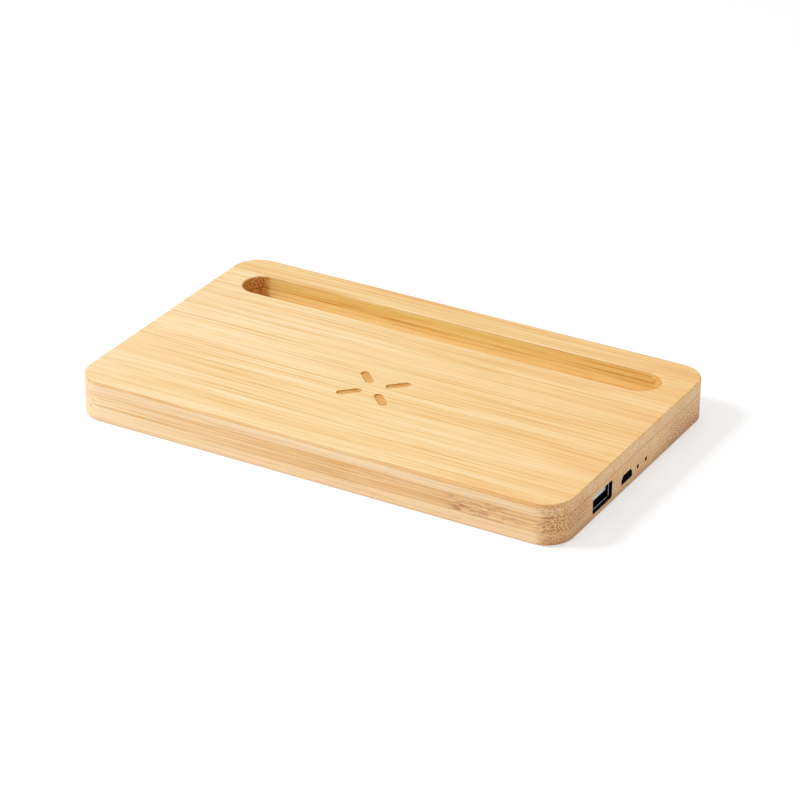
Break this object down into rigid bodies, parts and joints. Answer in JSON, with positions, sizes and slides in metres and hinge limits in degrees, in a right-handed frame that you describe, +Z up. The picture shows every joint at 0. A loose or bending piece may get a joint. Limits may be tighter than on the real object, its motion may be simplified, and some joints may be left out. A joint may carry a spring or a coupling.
{
  "type": "wireless charger",
  "caption": "Flat bamboo wireless charging board with a long phone slot, a charging spot and two sockets in one end.",
  "frame": {"origin": "on the desk under the middle of the board, at the bottom of the rubber feet", "axes": "+X along the phone slot to the end with the sockets, +Y to the side with the slot, +Z up"},
  "size_m": [0.18, 0.11, 0.0151],
  "materials": {
    "bamboo": "laminated carbonised bamboo, sanded and oiled to a low sheen",
    "cover_plastic": "black moulded ABS, fine spark texture",
    "foot_rubber": "matt black rubber",
    "screw_steel": "zinc-plated steel",
    "board_laminate": "green solder resist on glass laminate",
    "socket_steel": "nickel-plated folded steel",
    "tongue_plastic": "pale blue-grey moulded nylon",
    "dark_plastic": "black moulded nylon",
    "contact_gold": "gold-flashed phosphor bronze",
    "led_resin": "clear epoxy",
    "tinned_wire": "tinned lead wire",
    "copper_wire": "enamelled copper",
    "ferrite": "sintered ferrite, matt dark grey",
    "tape_film": "amber polyimide film",
    "chip_resin": "black epoxy moulding",
    "capacitor_ceramic": "fired tan ceramic",
    "can_aluminium": "drawn aluminium can",
    "crystal_steel": "plated steel lid"
  },
  "bodies": {
    "root": {"bamboo_body": "bamboo", "base_cover": "cover_plastic", "rubber_foot_1": "foot_rubber", "rubber_foot_2": "foot_rubber", "rubber_foot_3": "foot_rubber", "rubber_foot_4": "foot_rubber", "cover_screw_1": "screw_steel", "cover_screw_2": "screw_steel", "cover_screw_3": "screw_steel", "cover_screw_4": "screw_steel", "cover_screw_5": "screw_steel", "cover_screw_6": "screw_steel", "board_screw_1": "screw_steel", "board_screw_2": "screw_steel", "board_screw_3": "screw_steel", "board_screw_4": "screw_steel", "circuit_board": "board_laminate", "output_socket_shell": "socket_steel", "input_socket_shell": "socket_steel", "output_socket_insulator": "tongue_plastic", "input_socket_insulator": "dark_plastic", "output_socket_contact_1": "contact_gold", "output_socket_contact_2": "contact_gold", "output_socket_contact_3": "contact_gold", "output_socket_contact_4": "contact_gold", "input_socket_contact_1": "contact_gold", "input_socket_contact_2": "contact_gold", "input_socket_contact_3": "contact_gold", "input_socket_contact_4": "contact_gold", "input_socket_contact_5": "contact_gold", "led_1_lens": "led_resin", "led_1_anode": "tinned_wire", "led_1_cathode": "tinned_wire", "led_2_lens": "led_resin", "led_2_anode": "tinned_wire", "led_2_cathode": "tinned_wire", "transmitter_coil": "copper_wire", "coil_tape": "tape_film", "ferrite_shield": "ferrite", "controller_chip": "chip_resin", "power_stage_chip": "chip_resin", "output_switch_chip": "chip_resin", "sense_resistor": "chip_resin", "power_inductor": "ferrite", "crystal": "crystal_steel", "tuning_capacitor_1": "capacitor_ceramic", "tuning_capacitor_2": "capacitor_ceramic", "tuning_capacitor_3": "capacitor_ceramic", "tuning_capacitor_4": "capacitor_ceramic", "bulk_capacitor_1": "can_aluminium", "bulk_capacitor_2": "can_aluminium"}
  },
  "joints": []
}
